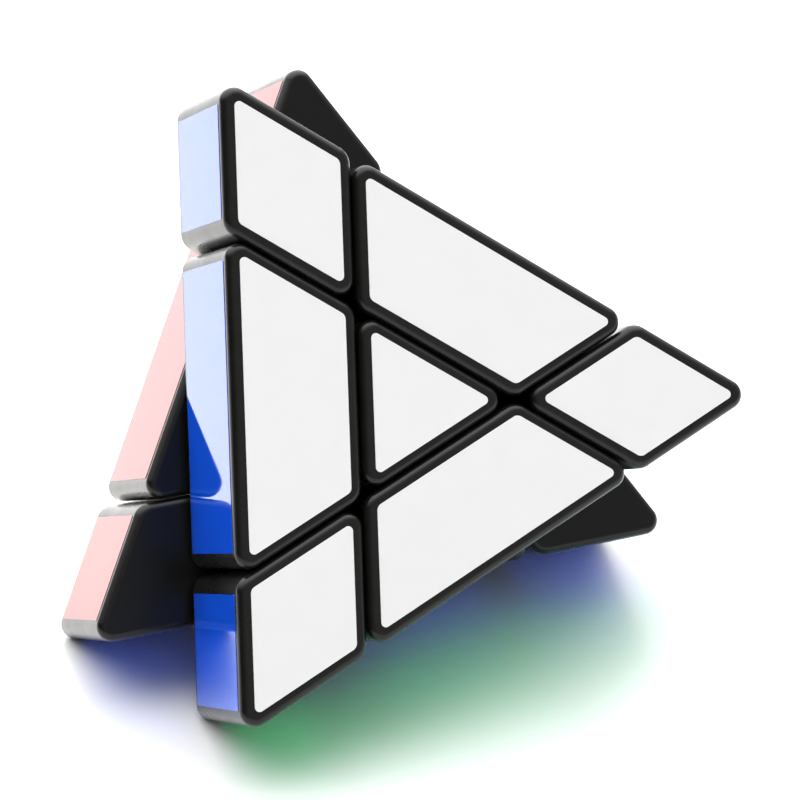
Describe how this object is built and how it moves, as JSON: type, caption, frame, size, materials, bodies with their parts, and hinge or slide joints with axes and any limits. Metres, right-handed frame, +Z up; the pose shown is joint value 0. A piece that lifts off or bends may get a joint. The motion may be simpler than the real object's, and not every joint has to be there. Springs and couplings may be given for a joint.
{
  "type": "twisty puzzle",
  "caption": "Layered triangular-prism twisty puzzle caught part-way through a turn: coloured stickers on black pieces that turn about a sprung core.",
  "frame": {"origin": "on the surface that the puzzle stands on, under the middle of its bounding box", "axes": "+Z up, -Y towards the viewer and out of the leaning front face, +X to the right of the front face"},
  "size_m": [0.0824, 0.0752, 0.0764],
  "materials": {
    "shell_plastic": "smooth satin-gloss black ABS",
    "foot_plastic": "matte black ABS",
    "hub_plastic": "matte grey acetal",
    "core_plastic": "matte off-white acetal",
    "screw_steel": "zinc-plated",
    "washer_steel": "bright",
    "spring_steel": "drawn wire",
    "sticker_white": "glossy vinyl",
    "sticker_blue": "glossy vinyl",
    "sticker_green": "glossy vinyl",
    "sticker_red": "glossy vinyl",
    "sticker_yellow": "glossy vinyl"
  },
  "bodies": {
    "core_and_back_layer": {"core": "core_plastic", "tension_screws": "screw_steel", "spring_washers": "washer_steel", "front_spring": "spring_steel", "back_spring": "spring_steel", "side_spring_1": "spring_steel", "side_spring_2": "spring_steel", "side_spring_3": "spring_steel", "equator_piece_1": "hub_plastic", "equator_piece_2": "hub_plastic", "equator_piece_3": "hub_plastic", "back_center": "foot_plastic", "back_center_cap": "shell_plastic", "back_corner_shell_1": "shell_plastic", "back_corner_shell_2": "shell_plastic", "back_corner_shell_3": "shell_plastic", "back_corner_foot_1": "foot_plastic", "back_corner_foot_2": "foot_plastic", "back_corner_foot_3": "foot_plastic", "back_edge_shell_1": "shell_plastic", "back_edge_shell_2": "shell_plastic", "back_edge_shell_3": "shell_plastic", "back_edge_foot_1": "foot_plastic", "back_edge_foot_2": "foot_plastic", "back_edge_foot_3": "foot_plastic", "back_yellow_stickers": "sticker_yellow", "back_red_stickers": "sticker_red", "back_blue_stickers": "sticker_blue", "back_green_stickers": "sticker_green"},
    "front_layer": {"front_center": "foot_plastic", "front_center_cap": "shell_plastic", "front_corner_shell_1": "shell_plastic", "front_corner_shell_2": "shell_plastic", "front_corner_shell_3": "shell_plastic", "front_corner_foot_1": "foot_plastic", "front_corner_foot_2": "foot_plastic", "front_corner_foot_3": "foot_plastic", "front_edge_shell_1": "shell_plastic", "front_edge_shell_2": "shell_plastic", "front_edge_shell_3": "shell_plastic", "front_edge_foot_1": "foot_plastic", "front_edge_foot_2": "foot_plastic", "front_edge_foot_3": "foot_plastic", "front_white_stickers": "sticker_white", "front_blue_stickers": "sticker_blue", "front_green_stickers": "sticker_green", "front_red_stickers": "sticker_red"},
    "side_hub_1": {"side_hub_1": "hub_plastic"},
    "side_hub_2": {"side_hub_2": "hub_plastic"},
    "side_hub_3": {"side_hub_3": "hub_plastic"}
  },
  "joints": [
    {"name": "front_layer_turn", "type": "hinge", "parent": "core_and_back_layer", "child": "front_layer", "pos_m": [-0.00261, -0.00223, 0.03022], "axis": [0, -0.875, 0.4841], "continuous": true},
    {"name": "side_hub_1_turn", "type": "hinge", "parent": "core_and_back_layer", "child": "side_hub_1", "pos_m": [-0.00261, -0.00223, 0.03022], "axis": [-0.866, 0.2421, 0.4375], "continuous": true},
    {"name": "side_hub_2_turn", "type": "hinge", "parent": "core_and_back_layer", "child": "side_hub_2", "pos_m": [-0.00261, -0.00223, 0.03022], "axis": [0, -0.4841, -0.875], "continuous": true},
    {"name": "side_hub_3_turn", "type": "hinge", "parent": "core_and_back_layer", "child": "side_hub_3", "pos_m": [-0.00261, -0.00223, 0.03022], "axis": [0.866, 0.2421, 0.4375], "continuous": true}
  ]
}
